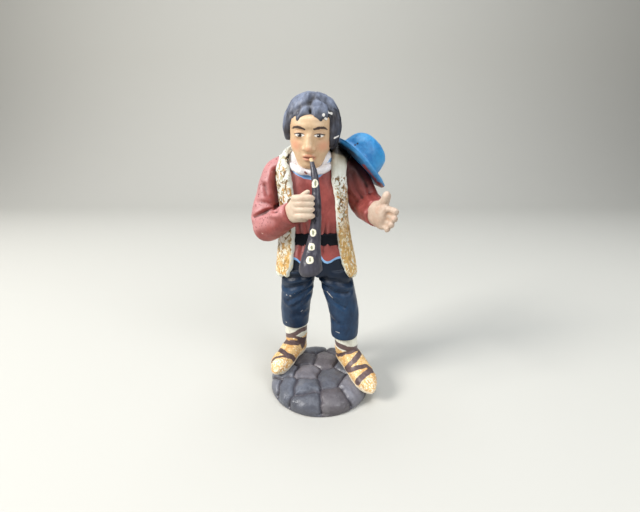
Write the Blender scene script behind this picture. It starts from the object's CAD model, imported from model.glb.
import math

import bpy
import numpy as np
from mathutils import Euler, Matrix, Vector, noise


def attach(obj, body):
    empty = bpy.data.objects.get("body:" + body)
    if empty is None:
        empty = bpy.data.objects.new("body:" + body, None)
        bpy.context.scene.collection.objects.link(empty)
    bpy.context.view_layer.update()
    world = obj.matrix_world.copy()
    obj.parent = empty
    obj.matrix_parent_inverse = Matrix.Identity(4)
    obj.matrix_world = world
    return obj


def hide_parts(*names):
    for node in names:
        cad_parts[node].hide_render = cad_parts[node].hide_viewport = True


# A painted terracotta shepherd who plays a shawm. Lengths are millimetres until a piece is
# handed over in metres. The figure faces -Y and its base rests on Z = 0.

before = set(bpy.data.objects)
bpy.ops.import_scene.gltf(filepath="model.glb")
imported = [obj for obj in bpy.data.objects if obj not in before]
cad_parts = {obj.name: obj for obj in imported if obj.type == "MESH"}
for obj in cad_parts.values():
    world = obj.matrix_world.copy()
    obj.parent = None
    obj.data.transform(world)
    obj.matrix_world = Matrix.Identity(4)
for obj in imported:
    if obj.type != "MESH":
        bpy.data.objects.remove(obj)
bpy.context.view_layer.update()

# Driving dimensions
BASE_RADIUS = 22
BASE_HEIGHT = 8
BASE_SQUARENESS = 3.5
BELT_LOW, BELT_HIGH = 64.7, 69.8
HEAD_CENTRE = (-3.2, 2.5, 107.3)
HEAD_TURN = (11, 2, -3)
HAT_CENTRE = (16.7, 12.4, 95.6)
HAT_AXIS = (0.7, 0.08, 0.71)
HAT_CROWN_SHIFT = 1.7
CHIN = -12
FACE_THIRD = 6.8
NOSE_FOOT = CHIN + FACE_THIRD
BROW = NOSE_FOOT + FACE_THIRD
MOUTH = NOSE_FOOT - FACE_THIRD / 3
COARSER = 1

rng = np.random.default_rng(12)


# Curves and skins

def curve(rows, t):
    """Points at t, from 0 to 1, along a smooth curve through the rows."""
    rows = np.asarray(rows, float)
    padded = np.vstack([2 * rows[0] - rows[1], rows, 2 * rows[-1] - rows[-2]])
    at = np.clip(t, 0, 1) * (len(rows) - 1)
    i = np.minimum(at.astype(int), len(rows) - 2)
    w = (at - i)[:, None]
    before, start, end, after = padded[i], padded[i + 1], padded[i + 2], padded[i + 3]
    leave, arrive = (end - before) / 2, (after - start) / 2
    return (start + leave * w + (3 * (end - start) - 2 * leave - arrive) * w ** 2
            + (2 * (start - end) + leave + arrive) * w ** 3)


def unit(vectors):
    return vectors / np.linalg.norm(vectors, axis=-1, keepdims=True)


def skin(rings, first, last):
    """A closed skin over rings of equal point count, with a pole at each end."""
    count, sides = rings.shape[:2]
    points = np.vstack([[first], rings.reshape(-1, 3), [last]])
    end = len(points) - 1
    faces = []
    for j in range(sides):
        k = (j + 1) % sides
        faces.append((0, 1 + k, 1 + j))
        faces.append((end, end - sides + j, end - sides + k))
        for i in range(count - 1):
            low = 1 + i * sides
            faces.append((low + j, low + k, low + sides + k, low + sides + j))
    return points, faces


def loft(stations, sides=64, rings=60, across=None, domes=(0, 0), square=2.0):
    """A tube through stations of x, y, z, width and depth, with rounded ends. Its sections lie
    level, or square to the path where across gives the direction of their width."""
    table = np.array([list(s) + [s[3]] * (5 - len(s)) for s in stations], float)
    turn = np.linspace(0, np.pi / 2, 11)[1:-1]
    first, last = domes
    t, scale = np.linspace(first, 1 - last, rings), np.ones(rings)
    if first:
        t = np.concatenate([first * (1 - np.cos(turn)), t])
        scale = np.concatenate([np.sin(turn), scale])
    if last:
        t = np.concatenate([t, 1 - last * (1 - np.cos(turn[::-1]))])
        scale = np.concatenate([scale, np.sin(turn[::-1])])
    centre = curve(table[:, :3], t)
    size = curve(table[:, 3:] / 2, t)
    ahead = unit(curve(table[:, :3], t + 1e-4) - curve(table[:, :3], t - 1e-4))
    if across is None:
        wide = np.tile([1.0, 0, 0], (len(t), 1))
        deep = np.stack([0 * t, np.sign(ahead[:, 2]), 0 * t], 1)
    else:
        wide = np.tile(np.asarray(across, float), (len(t), 1))
        wide = unit(wide - (wide * ahead).sum(1)[:, None] * ahead)
        deep = np.cross(ahead, wide)
    angle = np.linspace(0, 2 * np.pi, sides, endpoint=False)
    rounded = [np.sign(v) * np.abs(v) ** (2 / square) for v in (np.cos(angle), np.sin(angle))]
    arms = (wide[:, None] * (size[:, 0, None] * rounded[0])[..., None]
            + deep[:, None] * (size[:, 1, None] * rounded[1])[..., None])
    rings_of_points = centre[:, None] + arms * scale[:, None, None]
    ends = curve(table[:, :3], np.array([0.0, 1.0]))
    return skin(rings_of_points, ends[0], ends[1])


def ball(centre, radii, sides=36):
    x, y, z = centre
    rx, ry, rz = radii
    return loft([(x, y, z - rz, 2 * rx, 2 * ry), (x, y, z + rz, 2 * rx, 2 * ry)],
                sides, 2, domes=(0.5, 0.499))


def revolve(profile, sides=128):
    """A closed skin from a profile of radius and height that starts and ends on the axis."""
    angle = np.linspace(0, 2 * np.pi, sides, endpoint=False)
    rings = np.array([[(r * math.cos(a), r * math.sin(a), z) for a in angle] for r, z in profile[1:-1]])
    return skin(rings, (0, 0, profile[0][1]), (0, 0, profile[-1][1]))


def torus(radius, thick, centre, tilt, stretch=(1, 1)):
    """A ring whose upper side leans forward by tilt degrees."""
    turn = np.linspace(0, 2 * np.pi, 96, endpoint=False)
    around = np.linspace(0, 2 * np.pi, 24, endpoint=False)
    reach = radius + thick * np.cos(around)
    x = reach * np.cos(turn)[:, None] * stretch[0]
    y = reach * np.sin(turn)[:, None] * stretch[1]
    z = np.broadcast_to(thick * np.sin(around), x.shape)
    lean = math.radians(tilt)
    points = np.stack([x, y * math.cos(lean) - z * math.sin(lean),
                       y * math.sin(lean) + z * math.cos(lean)], -1) + centre
    n, m = x.shape
    faces = [(i * m + j, (i + 1) % n * m + j, (i + 1) % n * m + (j + 1) % m, i * m + (j + 1) % m)
             for i in range(n) for j in range(m)]
    return points.reshape(-1, 3), faces


def placed(part, matrix):
    points, faces = part
    turn = np.array(matrix.to_3x3())
    return points @ turn.T + np.array(matrix.translation), faces


# Surfaces

def fuse(name, parts, voxel, rounds=4):
    """Joins overlapping skins into one even surface, with its inner corners softened."""
    points, faces, start = [], [], 0
    for part_points, part_faces in parts:
        points.append(part_points)
        faces += [tuple(start + i for i in face) for face in part_faces]
        start += len(part_points)
    mesh = bpy.data.meshes.new(name)
    mesh.from_pydata(np.vstack(points).tolist(), [], faces)
    obj = bpy.data.objects.new(name, mesh)
    bpy.context.scene.collection.objects.link(obj)
    remesh = obj.modifiers.new("even", "REMESH")
    remesh.mode = "VOXEL"
    remesh.voxel_size = voxel * COARSER
    soften = obj.modifiers.new("soften", "SMOOTH")
    soften.factor = 0.5
    soften.iterations = rounds
    even = bpy.data.meshes.new_from_object(obj.evaluated_get(bpy.context.evaluated_depsgraph_get()))
    obj.modifiers.clear()
    obj.data = even
    return obj


def points_of(obj):
    points = np.zeros(len(obj.data.vertices) * 3)
    obj.data.vertices.foreach_get("co", points)
    return points.reshape(-1, 3)


def normals_of(obj):
    normals = np.zeros(len(obj.data.vertices) * 3)
    obj.data.vertex_normals.foreach_get("vector", normals)
    return normals.reshape(-1, 3)


def push(obj, height):
    """Moves every point of the surface out by its own height."""
    moved = points_of(obj) + normals_of(obj) * np.asarray(height)[:, None]
    obj.data.vertices.foreach_set("co", moved.ravel())
    obj.data.update()


def mark(obj, name, values):
    """Stores one number per point for the paint to read."""
    layer = obj.data.attributes.new(name, "FLOAT", "POINT")
    layer.data.foreach_set("value", np.asarray(values, np.float32))


def hollows(obj, rounds=10):
    """How deep each point lies in a hollow; negative on edges and bumps."""
    points, normals = points_of(obj), normals_of(obj)
    edges = np.zeros(len(obj.data.edges) * 2, np.int64)
    obj.data.edges.foreach_get("vertices", edges)
    a, b = edges.reshape(-1, 2).T
    share = np.bincount(np.concatenate([a, b]), minlength=len(points))
    soft = points
    for _ in range(rounds):
        sums = [np.bincount(a, soft[b, k], len(points)) + np.bincount(b, soft[a, k], len(points))
                for k in range(3)]
        soft = np.stack(sums, 1) / share[:, None]
    return ((soft - points) * normals).sum(1)


def grain(points, size, octaves=3, seed=0):
    """Soft noise with features of a given size."""
    shift = np.array([17.3, 5.1, -9.7]) * (seed + 1)
    return np.array([noise.fractal(Vector(p), 0.8, 2.0, octaves) for p in points / size + shift])


def to_path(points, path):
    """Distance from each point to a line through the points of a path."""
    best = np.full(len(points), 1e9)
    for start, end in zip(np.array(path[:-1], float), np.array(path[1:], float)):
        step = end - start
        t = np.clip((points - start) @ step / (step @ step), 0, 1)
        best = np.minimum(best, np.linalg.norm(points - start - t[:, None] * step, axis=1))
    return best


def to_strokes(points, strokes):
    """Signed distance to the nearest of some short strokes: start, end and half-width."""
    return np.min([to_path(points, (start, end)) - half for start, end, half in strokes], axis=0)


def on_surface(obj, path, count=40):
    """A path through points, pulled onto the surface."""
    line = curve(path, np.linspace(0, 1, count))
    return np.array([obj.closest_point_on_mesh(Vector(point))[1] for point in line])


def smooth(value, low, high):
    t = np.clip((value - low) / (high - low), 0, 1)
    return t * t * (3 - 2 * t)


def creases(points, normals, lines):
    """Height of soft folds seen from in front, or from behind where back is set. Each has a
    groove along its path and a low swell on both sides of it."""
    height = np.zeros(len(points))
    for path, wide, deep, back in lines:
        away = to_path(points[:, [0, 2]], path) / wide
        facing = smooth(normals[:, 1] * (1 if back else -1), -0.15, 0.35)
        height += deep * facing * (0.45 * np.exp(-((away - 1.9) ** 2)) - np.exp(-away ** 2))
    return height


# Paint

def srgb(r, g, b):
    """A colour as the eye reads it, from 0 to 255, turned into light."""
    def light(v):
        v = v / 255
        return v / 12.92 if v <= 0.04045 else ((v + 0.055) / 1.055) ** 2.4
    return (light(r), light(g), light(b), 1)


class Paint:
    """A satin paint on fired clay, built up from nodes."""

    def __init__(self, name):
        self.material = bpy.data.materials.new(name)
        self.material.use_nodes = True
        self.nodes = self.material.node_tree.nodes
        self.links = self.material.node_tree.links
        self.surface = self.nodes["Principled BSDF"]
        place = self.nodes.new("ShaderNodeTexCoord").outputs["Object"]
        self.place = self.make("ShaderNodeVectorMath", "Vector", {0: place, "Scale": 1000},
                               operation="SCALE")

    def make(self, kind, output, inputs, **settings):
        node = self.nodes.new(kind)
        for key, value in settings.items():
            setattr(node, key, value)
        for key, value in inputs.items():
            self.feed(node.inputs[key], value)
        return node.outputs[output]

    def feed(self, socket, value):
        if isinstance(value, bpy.types.NodeSocket):
            self.links.new(value, socket)
        else:
            socket.default_value = value

    def noise(self, size, detail=3, stretch=(1, 1, 1), turn=(0, 0, 0), warp=0.0, rough=0.55):
        """Noise with features of a size in millimetres."""
        place = self.make("ShaderNodeMapping", "Vector",
                          {"Vector": self.place, "Rotation": turn,
                           "Scale": tuple(size * s for s in stretch)}, vector_type="TEXTURE")
        return self.make("ShaderNodeTexNoise", "Fac",
                         {"Vector": place, "Scale": 1.0, "Detail": detail, "Distortion": warp,
                          "Roughness": rough})

    def cells(self, size, feature="F1"):
        return self.make("ShaderNodeTexVoronoi", "Distance",
                         {"Vector": self.place, "Scale": 1 / size}, feature=feature)

    def read(self, name):
        return self.make("ShaderNodeAttribute", "Fac", {}, attribute_name=name)

    def between(self, value, low, high, start=0.0, end=1.0):
        """A soft step: start where value is low, end where it is high."""
        return self.make("ShaderNodeMapRange", "Result",
                         {"Value": value, "From Min": low, "From Max": high,
                          "To Min": start, "To Max": end}, interpolation_type="SMOOTHSTEP")

    def sum(self, a, b, operation="ADD"):
        return self.make("ShaderNodeMath", "Value", {0: a, 1: b}, operation=operation)

    def mix(self, factor, a, b):
        node = self.nodes.new("ShaderNodeMix")
        node.data_type = "RGBA"
        self.feed(node.inputs[0], factor)
        self.feed(node.inputs[6], a)
        self.feed(node.inputs[7], b)
        return node.outputs[2]

    def inside(self, name, edge=0.12):
        """1 inside a painted mark, 0 outside, from its signed distance in millimetres."""
        return self.between(self.read(name), -edge, edge, 1, 0)

    def coat(self, light, dark, streak=(1, 1, 1), turn=(0, 0, 0), size=7.0):
        """The paint's own colour: light and dark shades in soft patches, brushed one way."""
        patches = self.noise(size, 4)
        strokes = self.noise(0.9, 3, streak, turn)
        both = self.sum(patches, self.sum(strokes, 0.45, "MULTIPLY"), "ADD")
        return self.mix(self.between(both, 0.48, 0.95), dark, light)

    def grime(self, colour, dark, low=0.03, high=0.35, strength=0.75):
        """Darker paint gathered in the hollows."""
        return self.mix(self.between(self.read("hollow"), low, high, 0, strength), colour, dark)

    def chips(self, colour, bare, size=2.2, share=0.28, edge=-0.05):
        """Small flakes off the raised edges, down to the clay or the ground coat."""
        spots = self.between(self.cells(size), share * 0.45, share * 0.3)
        ragged = self.between(self.noise(1.1, 4), 0.5, 0.6)
        raised = self.between(self.read("hollow"), edge, edge * 2.2)
        flake = self.sum(self.sum(spots, ragged, "MULTIPLY"), raised, "MULTIPLY")
        return self.mix(flake, colour, bare), flake

    def finish(self, colour, rough=0.42, spread=0.12, bump=0.05, strokes=None, shine=0.5):
        """Sets the finished colour, an uneven gloss and the fine relief of brushed paint."""
        gloss = self.between(self.noise(3.2, 4), 0.3, 0.7, rough - spread, rough + spread)
        orange_peel = self.noise(0.55, 3)
        pits = self.between(self.cells(1.3), 0.05, 0.14)
        relief = self.sum(orange_peel, self.sum(pits, 0.9, "MULTIPLY"), "ADD")
        if strokes is not None:
            relief = self.sum(relief, self.sum(strokes, 1.6, "MULTIPLY"), "ADD")
        normal = self.make("ShaderNodeBump", "Normal",
                           {"Height": relief, "Distance": bump / 1000, "Strength": 1.0})
        self.feed(self.surface.inputs["Base Color"], colour)
        self.feed(self.surface.inputs["Roughness"], gloss)
        self.feed(self.surface.inputs["Normal"], normal)
        self.surface.inputs["Specular IOR Level"].default_value = shine
        return self.material


def hand_over(obj, material):
    """Turns a finished piece into metres and sets it on the figure's body."""
    mark(obj, "hollow", hollows(obj))
    obj.data.transform(Matrix.Scale(0.001, 4))
    obj.data.polygons.foreach_set("use_smooth", np.ones(len(obj.data.polygons), bool))
    obj.data.materials.clear()
    obj.data.materials.append(material)
    obj.data.update()
    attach(obj, "root")
    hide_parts("figure")


# Base: a low dome of cobbles

COBBLES = np.array([
    (-6.4, -2.4), (2.6, 6.6), (4.6, -6.6), (-6.2, -10.4), (-7.4, 8), (13.2, 3.4), (-15, -0.8),
    (-5.4, -20), (5.8, -18.4), (-14, -9.6), (13.8, -11), (20, -4), (-18, 10), (-3.6, 18.6),
    (9.6, 17), (21, 7.6), (-21, -8),
])
# Cobbles painted paler or duller than the rest, by their place in the list
PALE_COBBLES = [0, 6, 10, 13, 16]
DULL_COBBLES = [2, 7, 8]


def dome_height(reach):
    inside = 1 - np.minimum(reach / BASE_RADIUS, 1) ** BASE_SQUARENESS
    return BASE_HEIGHT * inside ** (1 / BASE_SQUARENESS)


def base():
    profile = [(0, 0), (BASE_RADIUS - 3, 0), (BASE_RADIUS - 0.9, 0.05), (BASE_RADIUS - 0.3, 0.35)]
    for turn in np.linspace(0.08, 1, 40) * np.pi / 2:
        reach = BASE_RADIUS * math.cos(turn) ** (2 / BASE_SQUARENESS)
        profile.append((reach, float(dome_height(reach))))
    profile[-1] = (0, BASE_HEIGHT)
    obj = fuse("base", [revolve(profile)], 0.3, 2)
    points = points_of(obj)
    sway = np.stack([grain(points, 5, 2, 1), grain(points, 5, 2, 2)], 1) * 0.9
    flat = points[:, :2] + sway
    away = np.linalg.norm(flat[:, None] - COBBLES[None], axis=2)
    order = np.argsort(away, 1)
    row = np.arange(len(points))
    near, second = order[:, 0], order[:, 1]
    apart = np.linalg.norm(COBBLES[near] - COBBLES[second], axis=1)
    gap = (away[row, second] ** 2 - away[row, near] ** 2) / (2 * apart)
    joint = -0.5 * np.exp(-(gap / 0.6) ** 2) - 1.0 * np.exp(-gap / 1.8)
    tilt = np.array([rng.normal(0, 0.02, 2) for _ in COBBLES])
    lean = ((flat - COBBLES[near]) * tilt[near]).sum(1)
    lift = rng.uniform(-0.1, 0.3, len(COBBLES))[near] * smooth(gap, 0, 1.6)
    rough = 0.22 * grain(points, 4, 4, 3)
    above = smooth(points[:, 2], 0.15, 1.4)
    push(obj, (joint + lean + lift + rough) * above)
    mark(obj, "joint", gap)
    tone = rng.uniform(0, 1, len(COBBLES))
    blend = smooth(gap, 0, 0.8)
    mark(obj, "tone", tone[near] * blend + 0.5 * (1 - blend))
    mark(obj, "pale", np.isin(near, PALE_COBBLES) * blend)
    mark(obj, "dull", np.isin(near, DULL_COBBLES) * blend)
    paint = Paint("slate_brown_paint")
    cool = paint.coat(srgb(105, 109, 120), srgb(77, 80, 89), (1, 1, 0.4))
    warm = paint.coat(srgb(108, 103, 108), srgb(79, 75, 80), (1, 1, 0.4))
    plain = paint.mix(paint.between(paint.read("tone"), 0.35, 0.7), warm, cool)
    dull = paint.mix(paint.sum(paint.read("dull"), 0.3, "MULTIPLY"), plain, srgb(62, 58, 60))
    stone = paint.mix(paint.sum(paint.read("pale"), 0.22, "MULTIPLY"), dull, srgb(156, 156, 166))
    dusty = paint.mix(paint.between(paint.noise(5.5, 5), 0.56, 0.7, 0, 0.3), stone,
                      srgb(128, 126, 126))
    dark = paint.mix(paint.between(paint.read("joint"), 1.1, 0.0, 0, 0.6), dusty, srgb(60, 53, 60))
    worn, _ = paint.chips(dark, srgb(170, 150, 138), 3.4)
    hand_over(obj, paint.finish(worn, 0.4, 0.1, 0.08, paint.noise(1.6, 4, (1, 1, 0.5))))


# Legs: shoes, stockings and knee breeches

RIGHT_SHOE = [
    (-9.8, 16.8, 11, 7.4, 7.6), (-11, 13, 11.8, 9, 10.2), (-13.2, 8.6, 11.8, 8.8, 9.8),
    (-15.4, 3.8, 10.8, 8.9, 8.8), (-17.6, -0.8, 10, 8.4, 8), (-20, -5.4, 8.8, 5.8, 5.8),
]
LEFT_SHOE = [
    (10.8, 10, 10.8, 7.8, 7.6), (11.9, 6.4, 11.8, 9.2, 10.6), (13.9, 1.8, 11.4, 9.4, 10.2),
    (16.7, -3.4, 9.6, 9.9, 8.8), (19.1, -8.8, 8, 9.8, 8), (21.6, -14.8, 6.4, 7, 6),
]
RIGHT_STOCKING = [(-11.2, 12.4, 10.5, 8, 8), (-11.2, 12, 16, 9.6, 9.4), (-10.9, 11.2, 28, 10.6, 9.8)]
LEFT_STOCKING = [(12, 5.6, 10.5, 8.6, 8.6), (11.8, 4.4, 17, 10, 10), (11, 4, 27, 10.2, 10.2)]
RIGHT_LEG = [
    (-11.3, 11.4, 24.4, 11.4, 12.4), (-11.3, 11.2, 25.9, 12.2, 13.4), (-11.1, 9.8, 33, 13, 14.6),
    (-10.2, 8.2, 40, 13.7, 15.6), (-9.5, 7.2, 47, 14, 16.8), (-8.6, 6.8, 54, 15, 17),
]
LEFT_LEG = [
    (10.8, 4.2, 22.4, 11.2, 12.4), (10.9, 4.3, 23.9, 12, 13.6), (10.6, 5, 33, 12.7, 14.6),
    (8.8, 5.8, 41, 13.7, 15.6), (7.1, 6.4, 47.5, 13.9, 16.8), (5.4, 6.6, 54, 15, 17),
]
HIPS = [(-1.4, 6.8, 51, 26, 14), (-1.5, 6.8, 53.4, 29.6, 17.4), (-1.9, 6.6, 60, 27, 16.6)]
# Where the lacing crosses each shoe, as points on its surface, and its half-width
LACES = [
    ([(6.4, 3.6, 19.6), (6.9, 2.7, 19.2), (8.8, 0.4, 18.6), (10.9, -0.6, 18.1), (13.6, -0.2, 17.1),
      (15.8, 1.7, 16.4), (16.8, 4, 16)], 1.3),
    ([(7, 6, 11.6), (8.2, 3.3, 12.1), (10, 0.7, 14.1), (12.1, -0.3, 15.5), (14.3, 0.2, 16.1)], 0.8),
    ([(17.9, 1.4, 15), (17.3, -0.4, 15.1), (16.1, -2.6, 14.7), (14, -4.6, 13.6), (12.3, -4.8, 11.7),
      (11.5, -3.5, 9.5)], 1.1),
    ([(11.7, -3.9, 9.3), (13.4, -6.7, 11.4), (15.3, -7.1, 12.5), (17.8, -6.7, 12.9), (19.8, -6, 12.6),
      (21.8, -6.8, 11.4), (22.6, -6.4, 9.6)], 1.1),
    ([(21.6, -7.5, 11.5), (19.6, -9.4, 11.8), (17.6, -11, 11.1), (16.2, -11.6, 9.9), (15.6, -11.6, 8.6)],
     1.2),
    ([(-6.1, 11.2, 22), (-8.5, 7.6, 22.3), (-10.7, 7.1, 21), (-12.5, 7.3, 19.7), (-14.3, 8.2, 19),
      (-15.6, 10.4, 18.2), (-15.8, 12.6, 17.8)], 1.1),
    ([(-14.3, 8.2, 18.8), (-11.6, 7.1, 19), (-8.6, 8, 17.6), (-7.1, 9.4, 16.9), (-6.4, 11.6, 16.6)], 0.7),
    ([(-16.2, 9, 15.4), (-15.2, 7.1, 16), (-12.9, 6.5, 16.1), (-10.8, 7.2, 15.8), (-8.6, 8.2, 15.7),
      (-7, 10, 15.4)], 1.1),
    ([(-9, 8, 17), (-8.3, 8.6, 15.1), (-8, 9.2, 13.6)], 1.6),
    ([(-19.6, 5, 11.6), (-18.8, 4.5, 13.6), (-16.9, 1.8, 14.7), (-14.6, 0.4, 14.1), (-13, 0.5, 13),
      (-11.7, 1.6, 10.7)], 1.15),
    ([(-20.6, -1.6, 11.6), (-19.3, -1.4, 13.4), (-17.6, -1.2, 14), (-15.8, -0.8, 13.9),
      (-13.9, -0.5, 13.2)], 0.6),
]
# A dark pit in the left shoe's edge: start, end and half-width
SHOE_PIT = [((15.8, -0.5, 15.4), (15.8, -0.6, 15.4), 0.4)]
TOES = np.array([(-19, -4.4, 9.8), (21, -13.6, 7.4)])


def feet():
    shoe = {"across": (1, 0.5, 0), "domes": (0.16, 0.2), "square": 2.3}
    obj = fuse("shoes_and_stockings", [
        loft(RIGHT_SHOE, **shoe), loft(LEFT_SHOE, **shoe),
        loft(RIGHT_STOCKING), loft(LEFT_STOCKING),
    ], 0.25, 8)
    points = points_of(obj)
    right = points[:, 0] < 0
    ankle = np.where(right, 19.2 + 0.25 * (points[:, 1] - 10), 17.2 + 0.3 * (points[:, 1] - 2))
    shoe_part = smooth(ankle - points[:, 2], -0.4, 0.8)
    push(obj, shoe_part * (0.16 * grain(points, 1.6, 3, 5) + 0.1) + 0.06 * grain(points, 4, 2, 6))
    points = points_of(obj)
    laces = np.min([to_path(points, on_surface(obj, path)) - half for path, half in LACES], axis=0)
    laces += 0.3 * grain(points, 2.2, 2, 7)
    push(obj, -0.1 * smooth(laces, 0.4, -0.3))
    mark(obj, "lace", laces)
    mark(obj, "pit", to_strokes(points, SHOE_PIT))
    mark(obj, "shoe", shoe_part)
    back = points[:, 1]
    sole = np.where(right, np.minimum(8.6 + 0.06 * back, 8.4 + 0.25 * back),
                    np.minimum(8.2 + 0.1 * back, 8.6 + 0.24 * back))
    mark(obj, "sole", points[:, 2] - sole)
    mark(obj, "toe", smooth(np.min([np.linalg.norm(points - toe, axis=1) for toe in TOES], axis=0), 8, 3))
    paint = Paint("fleece_shoe_paint")
    fleece = paint.noise(0.75, 4)
    patches = paint.between(paint.sum(paint.noise(4, 3), paint.sum(fleece, 0.5, "MULTIPLY")), 0.55, 0.9)
    ochre = paint.mix(patches, srgb(214, 162, 92), srgb(234, 198, 138))
    specks = paint.mix(paint.between(paint.noise(0.7, 3), 0.56, 0.62, 0, 0.6), ochre, srgb(166, 112, 62))
    rarer = paint.between(paint.read("toe"), 0, 1, 0.58, 0.49)
    tufts = paint.mix(paint.between(paint.sum(fleece, rarer, "SUBTRACT"), 0, 0.07, 0, 0.85), specks,
                      srgb(248, 238, 214))
    edge = paint.between(paint.sum(paint.read("sole"), paint.noise(1.5, 3), "SUBTRACT"), 0.6, 1.6, 1, 0)
    edged = paint.mix(edge, tufts, srgb(240, 228, 204))
    stocking = paint.coat(srgb(240, 240, 226), srgb(206, 204, 188), (1, 1, 3))
    both = paint.mix(paint.between(paint.read("shoe"), 0.35, 0.65), stocking, edged)
    soiled = paint.grime(both, srgb(150, 106, 62), 0.08, 0.5, 0.45)
    lace = paint.coat(srgb(112, 92, 90), srgb(76, 58, 58), (1, 1, 1))
    laced = paint.mix(paint.inside("lace", 0.14), soiled, lace)
    pitted = paint.mix(paint.inside("pit", 0.1), laced, srgb(66, 46, 24))
    worn, _ = paint.chips(pitted, srgb(238, 226, 208), 2.6)
    hand_over(obj, paint.finish(worn, 0.46, 0.1, 0.07, fleece))


# Front and back folds of the breeches: path seen from in front, width, depth, back
THIGH_FOLDS = [
    ([(-2.6, 51), (-8, 51.8), (-14.5, 51.2)], 1.0, 0.55, False),
    ([(-2.8, 49), (-8, 48.2), (-14.6, 46)], 1.1, 0.6, False),
    ([(-3.2, 46.6), (-8, 44), (-13.6, 40)], 1.1, 0.55, False),
    ([(-4, 43), (-8, 39.6), (-11, 37.6)], 1.0, 0.35, False),
    ([(0.6, 50.4), (6, 50.2), (12.4, 48.4)], 1.0, 0.55, False),
    ([(1.4, 47.4), (5.6, 45.2), (11.6, 44.6)], 1.1, 0.6, False),
    ([(2.8, 44), (6, 40.6), (10.4, 38.6)], 1.0, 0.4, False),
    ([(4.6, 31.4), (7, 30.4), (9.6, 30.4)], 1.1, 0.3, False),
    ([(-5.6, 33), (-8, 32), (-10.6, 32.2)], 1.1, 0.25, False),
    ([(-2, 49), (-8, 47.6), (-14, 44)], 1.4, 0.6, True),
    ([(-3, 45.6), (-8, 43), (-12, 39)], 1.3, 0.45, True),
    ([(0.6, 49), (6, 47.6), (12, 44)], 1.4, 0.6, True),
    ([(2, 45.4), (6, 42.6), (11, 39.4)], 1.3, 0.45, True),
    ([(5, 33), (10, 31.6), (15.6, 32.4)], 1.2, 0.5, True),
    ([(-6, 34), (-11, 32.6), (-17, 33.4)], 1.2, 0.5, True),
]
# Flakes of blue off the breeches, as strokes: start, end and half-width
BREECHES_FLAKES = [
    ((-13.6, 1.4, 42.9), (-13.5, 1.4, 42.9), 0.3), ((-12.2, 0.5, 43.2), (-12.1, 0.5, 43.2), 0.3),
    ((-8.3, 3, 34.1), (-7.7, 3, 34.8), 0.12), ((3.1, 0.6, 44.7), (5.5, -0.8, 42.7), 0.2),
    ((4, 0, 43.9), (4.5, -0.3, 43.4), 0.36), ((6.6, -0.9, 26.4), (8.4, -2, 26.4), 0.12),
    ((-15.2, 5.6, 27.5), (-14.8, 5.5, 27.5), 0.2),
]


def breeches():
    leg = {"domes": (0.04, 0), "rings": 70}
    obj = fuse("breeches", [
        loft(RIGHT_LEG, **leg), loft(LEFT_LEG, **leg),
        loft(HIPS, domes=(0.3, 0), square=2.3),
    ], 0.32, 8)
    points = points_of(obj)
    push(obj, creases(points, normals_of(obj), THIGH_FOLDS) + 0.22 * grain(points, 7, 2, 11))
    points = points_of(obj)
    flakes = [(*on_surface(obj, (start, end), 2), half) for start, end, half in BREECHES_FLAKES]
    mark(obj, "flake", to_strokes(points, flakes) + 0.12 * grain(points, 0.8, 2, 12))
    paint = Paint("navy_paint")
    cloth = paint.coat(srgb(34, 62, 92), srgb(22, 42, 68), (1, 1, 2.4), (0, 0.3, 0))
    deep = paint.grime(cloth, srgb(8, 14, 26), 0.02, 0.24, 0.85)
    height = paint.make("ShaderNodeSeparateXYZ", "Z", {0: paint.place})
    shaded = paint.mix(paint.between(height, 43, 52, 0, 0.9), deep, srgb(10, 22, 38))
    rubbed = paint.mix(paint.between(paint.read("hollow"), -0.08, -0.4, 0, 0.25), shaded,
                       srgb(64, 94, 128))
    worn, _ = paint.chips(rubbed, srgb(186, 180, 174), 3.4, 0.14)
    spotted = paint.mix(paint.inside("flake", 0.1), worn, srgb(214, 208, 204))
    strokes = paint.noise(1.2, 3, (1, 1, 3), (0, 0.3, 0))
    hand_over(obj, paint.finish(spotted, 0.42, 0.07, 0.05, strokes, 0.32))


# Torso: sweater, belt, shirt collar and neck

SWEATER = [
    (-2, 6.7, 62, 26, 15.6), (-2.1, 6.7, 65, 26, 15.6),
    (-2.2, 6.8, 69, 25.6, 15.4), (-2.4, 6.9, 73, 27, 17), (-2.6, 7, 81, 25.6, 17),
    (-2.9, 7.2, 89, 25, 16), (-3, 7.4, 95, 24, 13), (-3.2, 7.4, 99.4, 17, 11.4),
    (-3.4, 7.6, 102, 10.4, 8),
]
SKIRT = [
    (-1.6, 6.6, 56.6, 30, 17), (-1.7, 6.6, 58.4, 30.4, 17.6), (-2, 6.7, 62, 28, 16.8),
    (-2.1, 6.7, 66, 26, 15.6),
]
RIGHT_UPPER_ARM = [
    (-12.5, 8, 94.6, 10), (-17.3, 8.3, 91.4, 10.8), (-19.8, 7.4, 83, 11.4),
    (-21.5, 5.6, 75, 12.2), (-21.7, 4.4, 66, 10.6),
]
RIGHT_FOREARM = [
    (-25, 8, 69.6, 9), (-21, 3.4, 71.6, 11.8), (-17.6, -0.6, 73.6, 10.8),
    (-13.8, -4.6, 76.2, 9.4), (-9.5, -8.5, 79.2, 8.8),
]
LEFT_UPPER_ARM = [
    (8.4, 8.6, 94.6, 10), (12, 9, 91.6, 12.4), (15.9, 9.4, 85.2, 12.4), (18.8, 9.6, 79.2, 12.2),
    (20.4, 9.6, 74.2, 9.2),
]
LEFT_FOREARM = [
    (17.4, 15, 79.4, 9.4), (19.2, 8.4, 79.2, 12.2), (20.6, 2.4, 78.6, 11.2), (21.8, -4.2, 78.2, 10.4),
]
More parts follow.
